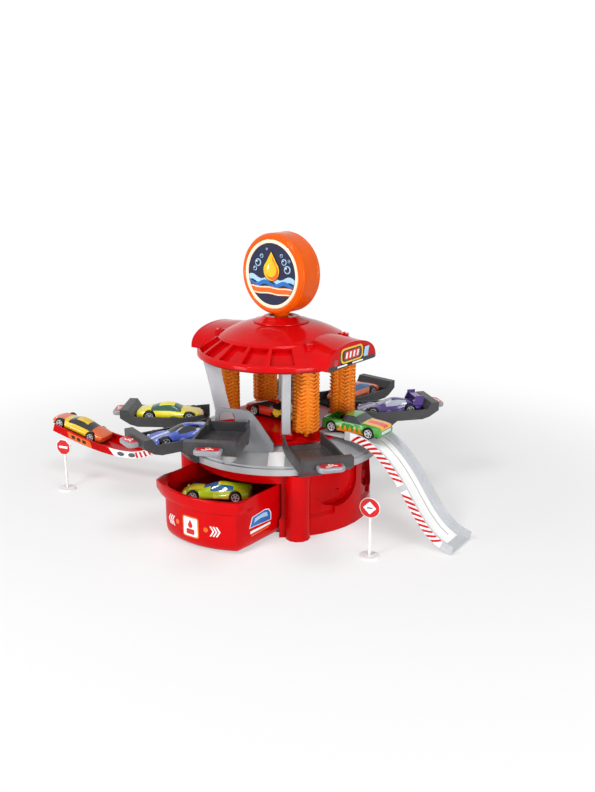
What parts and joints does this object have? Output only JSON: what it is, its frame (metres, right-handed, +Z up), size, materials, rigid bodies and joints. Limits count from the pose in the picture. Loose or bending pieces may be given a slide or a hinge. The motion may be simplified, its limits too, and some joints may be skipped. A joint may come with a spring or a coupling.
{
  "type": "toy car wash playset",
  "caption": "Toy car wash tower: round red base with pull-out water tub, grey deck with hinged car trays, brush bay under a domed roof, round turning sign, ramps and small cars.",
  "frame": {"origin": "middle of the underside of the base's floor plate", "axes": "+X out of the wash bay's exit, -Y the way the sign faces and the tub pulls out, +Z up"},
  "size_m": [0.4689, 0.3488, 0.2753],
  "materials": {
    "blue": "gloss",
    "brush_orange": "satin",
    "charcoal": "satin",
    "coral": "gloss",
    "dark_red": "satin",
    "deck_grey": "satin",
    "green": "gloss",
    "light_grey": "satin",
    "lime": "gloss",
    "navy": "gloss label",
    "orange": "gloss",
    "purple": "gloss",
    "red": "gloss",
    "tyre": "satin",
    "white": "satin",
    "yellow": "gloss"
  },
  "bodies": {
    "frame": {"base_plate": "dark_red", "base_shell": "red", "deck": "deck_grey", "wash_bay_floor": "dark_red", "pillar_1": "light_grey", "pillar_2": "light_grey", "pillar_3": "light_grey", "pillar_4": "light_grey", "side_portal": "deck_grey", "roof_dome": "red", "roof_ceiling": "dark_red", "sign_collar": "red", "tipper_post": "charcoal", "exit_ramp": "light_grey", "launch_ramp": "red"},
    "tub": {"water_tub": "red"},
    "sign": {"sign_drum": "orange", "sign_face_front": "navy", "sign_face_back": "navy"},
    "brush_1": {"brush_1": "brush_orange"},
    "brush_2": {"brush_2": "brush_orange"},
    "brush_3": {"brush_3": "brush_orange"},
    "brush_4": {"brush_4": "brush_orange"},
    "tray_1": {"tray_1": "charcoal"},
    "tray_2": {"tray_2": "charcoal"},
    "tray_3": {"tray_3": "charcoal"},
    "tray_4": {"tray_4": "charcoal"},
    "tray_5": {"tray_5": "charcoal"},
    "tray_6": {"tray_6": "charcoal"},
    "tipping_tray": {"tipping_tray": "charcoal"},
    "octagon_sign": {"octagon_sign_foot": "white", "octagon_sign_plate": "white"},
    "round_sign": {"round_sign_foot": "white", "round_sign_plate": "white"},
    "car_a": {"car_a": "yellow"},
    "car_a_front_wheels": {"car_a_front_wheels": "tyre"},
    "car_a_rear_wheels": {"car_a_rear_wheels": "tyre"},
    "car_b": {"car_b": "blue"},
    "car_b_front_wheels": {"car_b_front_wheels": "tyre"},
    "car_b_rear_wheels": {"car_b_rear_wheels": "tyre"},
    "car_c": {"car_c": "purple"},
    "car_c_front_wheels": {"car_c_front_wheels": "tyre"},
    "car_c_rear_wheels": {"car_c_rear_wheels": "tyre"},
    "car_d": {"car_d": "coral"},
    "car_d_front_wheels": {"car_d_front_wheels": "tyre"},
    "car_d_rear_wheels": {"car_d_rear_wheels": "tyre"},
    "car_e": {"car_e": "red"},
    "car_e_front_wheels": {"car_e_front_wheels": "tyre"},
    "car_e_rear_wheels": {"car_e_rear_wheels": "tyre"},
    "car_f": {"car_f": "green"},
    "car_f_front_wheels": {"car_f_front_wheels": "tyre"},
    "car_f_rear_wheels": {"car_f_rear_wheels": "tyre"},
    "car_g": {"car_g": "lime"},
    "car_g_front_wheels": {"car_g_front_wheels": "tyre"},
    "car_g_rear_wheels": {"car_g_rear_wheels": "tyre"},
    "car_h": {"car_h": "yellow"},
    "car_h_front_wheels": {"car_h_front_wheels": "tyre"},
    "car_h_rear_wheels": {"car_h_rear_wheels": "tyre"}
  },
  "joints": [
    {"name": "tub_slide", "type": "slide", "parent": "frame", "child": "tub", "axis": [0, 1, 0], "range_m": [0, 0.05]},
    {"name": "sign_turn", "type": "hinge", "parent": "frame", "child": "sign", "pos_m": [0, 0, 0.2365], "axis": [0, 0, 1], "continuous": true},
    {"name": "brush_1_spin", "type": "hinge", "parent": "frame", "child": "brush_1", "pos_m": [0.053, -0.03, 0.125], "axis": [0, 0, 1], "continuous": true},
    {"name": "brush_2_spin", "type": "hinge", "parent": "frame", "child": "brush_2", "pos_m": [0.053, 0.03, 0.125], "axis": [0, 0, 1], "continuous": true},
    {"name": "brush_3_spin", "type": "hinge", "parent": "frame", "child": "brush_3", "pos_m": [-0.046, -0.03, 0.125], "axis": [0, 0, 1], "continuous": true},
    {"name": "brush_4_spin", "type": "hinge", "parent": "frame", "child": "brush_4", "pos_m": [-0.046, 0.03, 0.125], "axis": [0, 0, 1], "continuous": true},
    {"name": "tray_1_lift", "type": "hinge", "parent": "frame", "child": "tray_1", "pos_m": [-0.06467, -0.04362, 0.0815], "axis": [-0.5592, 0.829, 0], "range_deg": [0, 8]},
    {"name": "tray_2_lift", "type": "hinge", "parent": "frame", "child": "tray_2", "pos_m": [-0.02539, -0.07375, 0.0815], "axis": [-0.9455, 0.3256, 0], "range_deg": [0, 8]},
    {"name": "tray_3_lift", "type": "hinge", "parent": "frame", "child": "tray_3", "pos_m": [0.06229, -0.04694, 0.0815], "axis": [-0.6018, -0.7986, 0], "range_deg": [0, 8]},
    {"name": "tray_4_lift", "type": "hinge", "parent": "frame", "child": "tray_4", "pos_m": [0.04909, 0.06062, 0.0815], "axis": [0.7771, -0.6293, 0], "range_deg": [0, 8]},
    {"name": "tray_5_lift", "type": "hinge", "parent": "frame", "child": "tray_5", "pos_m": [0.0068, 0.0777, 0.0815], "axis": [0.9962, -0.0872, 0], "range_deg": [0, 8]},
    {"name": "tray_6_lift", "type": "hinge", "parent": "frame", "child": "tray_6", "pos_m": [-0.04017, 0.06686, 0.0815], "axis": [0.8572, 0.515, 0], "range_deg": [0, 8]},
    {"name": "tipping_tray_tip", "type": "hinge", "parent": "frame", "child": "tipping_tray", "pos_m": [0.0102, -0.09093, 0.0965], "axis": [-0.866, -0.5, 0], "range_deg": [-20, 12]},
    {"name": "octagon_sign_lift", "type": "slide", "parent": "frame", "child": "octagon_sign", "axis": [0, 0, 1], "range_m": [0, 0.08]},
    {"name": "round_sign_lift", "type": "slide", "parent": "frame", "child": "round_sign", "axis": [0, 0, 1], "range_m": [0, 0.08]},
    {"name": "car_a_lift", "type": "slide", "parent": "tray_1", "child": "car_a", "axis": [0, 0, 1], "range_m": [0, 0.015]},
    {"name": "car_a_front_wheels_spin", "type": "hinge", "parent": "car_a", "child": "car_a_front_wheels", "pos_m": [-0.07623, -0.05142, 0.0925], "axis": [-0.5592, 0.829, 0], "continuous": true},
    {"name": "car_a_rear_wheels_spin", "type": "hinge", "parent": "car_a", "child": "car_a_rear_wheels", "pos_m": [-0.10981, -0.07407, 0.0925], "axis": [-0.5592, 0.829, 0], "continuous": true},
    {"name": "car_b_lift", "type": "slide", "parent": "tray_2", "child": "car_b", "axis": [0, 0, 1], "range_m": [0, 0.015]},
    {"name": "car_b_front_wheels_spin", "type": "hinge", "parent": "car_b", "child": "car_b_front_wheels", "pos_m": [-0.04377, -0.12712, 0.0925], "axis": [0.9455, -0.3256, 0], "continuous": true},
    {"name": "car_b_rear_wheels_spin", "type": "hinge", "parent": "car_b", "child": "car_b_rear_wheels", "pos_m": [-0.03059, -0.08883, 0.0925], "axis": [0.9455, -0.3256, 0], "continuous": true},
    {"name": "car_c_lift", "type": "slide", "parent": "tray_4", "child": "car_c", "axis": [0, 0, 1], "range_m": [0, 0.015]},
    {"name": "car_c_front_wheels_spin", "type": "hinge", "parent": "car_c", "child": "car_c_front_wheels", "pos_m": [0.05787, 0.07146, 0.0925], "axis": [0.7771, -0.6293, 0], "continuous": true},
    {"name": "car_c_rear_wheels_spin", "type": "hinge", "parent": "car_c", "child": "car_c_rear_wheels", "pos_m": [0.08335, 0.10293, 0.0925], "axis": [0.7771, -0.6293, 0], "continuous": true},
    {"name": "car_d_lift", "type": "slide", "parent": "tray_5", "child": "car_d", "axis": [0, 0, 1], "range_m": [0, 0.015]},
    {"name": "car_d_front_wheels_spin", "type": "hinge", "parent": "car_d", "child": "car_d_front_wheels", "pos_m": [0.00801, 0.0916, 0.0925], "axis": [0.9962, -0.0872, 0], "continuous": true},
    {"name": "car_d_rear_wheels_spin", "type": "hinge", "parent": "car_d", "child": "car_d_rear_wheels", "pos_m": [0.01154, 0.13195, 0.0925], "axis": [0.9962, -0.0872, 0], "continuous": true},
    {"name": "car_e_roll", "type": "slide", "parent": "frame", "child": "car_e", "axis": [1, 0, 0], "range_m": [-0.045, 0.02]},
    {"name": "car_e_front_wheels_spin", "type": "hinge", "parent": "car_e", "child": "car_e_front_wheels", "pos_m": [0.01525, 0, 0.0963], "axis": [0, 1, 0], "continuous": true},
    {"name": "car_e_rear_wheels_spin", "type": "hinge", "parent": "car_e", "child": "car_e_rear_wheels", "pos_m": [-0.02525, 0, 0.0963], "axis": [0, 1, 0], "continuous": true},
    {"name": "car_f_lift", "type": "slide", "parent": "frame", "child": "car_f", "axis": [0, 0, 1], "range_m": [0, 0.035]},
    {"name": "car_f_front_wheels_spin", "type": "hinge", "parent": "car_f", "child": "car_f_front_wheels", "pos_m": [0.10705, 0.00655, 0.0963], "axis": [-0.061, 0.9981, 0], "continuous": true},
    {"name": "car_f_rear_wheels_spin", "type": "hinge", "parent": "car_f", "child": "car_f_rear_wheels", "pos_m": [0.06663, 0.00407, 0.0963], "axis": [-0.061, 0.9981, 0], "continuous": true},
    {"name": "car_g_roll", "type": "slide", "parent": "tub", "child": "car_g", "axis": [-0.8387, -0.5446, 0], "range_m": [-0.006, 0.006]},
    {"name": "car_g_front_wheels_spin", "type": "hinge", "parent": "car_g", "child": "car_g_front_wheels", "pos_m": [-0.02182, -0.10557, 0.0388], "axis": [0.5446, -0.8387, 0], "continuous": true},
    {"name": "car_g_rear_wheels_spin", "type": "hinge", "parent": "car_g", "child": "car_g_rear_wheels", "pos_m": [0.01214, -0.08352, 0.0388], "axis": [0.5446, -0.8387, 0], "continuous": true},
    {"name": "car_h_lift", "type": "slide", "parent": "frame", "child": "car_h", "axis": [0.2803, 0.0804, 0.9565], "range_m": [0, 0.03]},
    {"name": "car_h_front_wheels_spin", "type": "hinge", "parent": "car_h", "child": "car_h_front_wheels", "pos_m": [-0.2511, -0.072, 0.05719], "axis": [0.2756, -0.9613, 0], "continuous": true},
    {"name": "car_h_rear_wheels_spin", "type": "hinge", "parent": "car_h", "child": "car_h_rear_wheels", "pos_m": [-0.21386, -0.06132, 0.04538], "axis": [0.2756, -0.9613, 0], "continuous": true}
  ]
}
